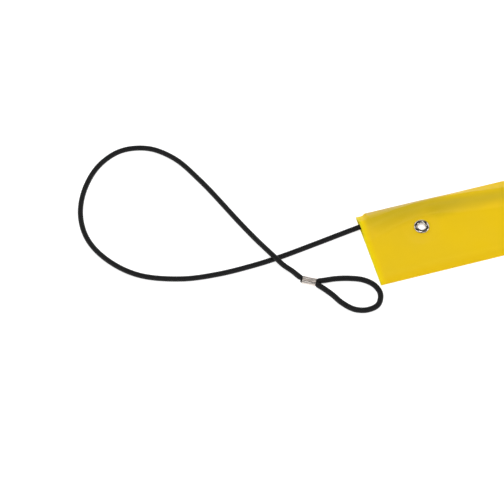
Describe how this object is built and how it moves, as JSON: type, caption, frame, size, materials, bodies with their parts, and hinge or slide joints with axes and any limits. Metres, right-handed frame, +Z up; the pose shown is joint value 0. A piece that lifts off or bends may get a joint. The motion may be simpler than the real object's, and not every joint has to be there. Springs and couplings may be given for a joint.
{
  "type": "aviation warning band with elastic cord",
  "caption": "Lay-flat vinyl warning band for aircraft ground equipment, with metal eyelets and an elastic cord through it that ends in crimped eyes.",
  "frame": {"origin": "centre of the band's underside, on the surface it lies on", "axes": "+X along the band, towards the far end; +Y towards its folded edge; +Z up"},
  "size_m": [0.9374, 0.2291, 0.0092],
  "materials": {
    "vinyl": "calendered soft vinyl, satin",
    "nickel": "nickel-plated brass, polished",
    "cord": "braided polyester sheath over a rubber core",
    "ferrule": "plated sheet steel, pressed"
  },
  "bodies": {
    "band": {"sleeve": "vinyl", "eyelet_near": "nickel", "eyelet_washer_near": "nickel", "eyelet_far": "nickel", "eyelet_washer_far": "nickel"},
    "cord": {"cord_run": "cord", "cord_lead_near": "cord", "cord_lead_far": "cord", "ferrule_near": "ferrule", "ferrule_far": "ferrule"}
  },
  "joints": [
    {"name": "cord_slide", "type": "slide", "parent": "band", "child": "cord", "axis": [-1, 0, 0], "range_m": [0, 0.01]}
  ]
}
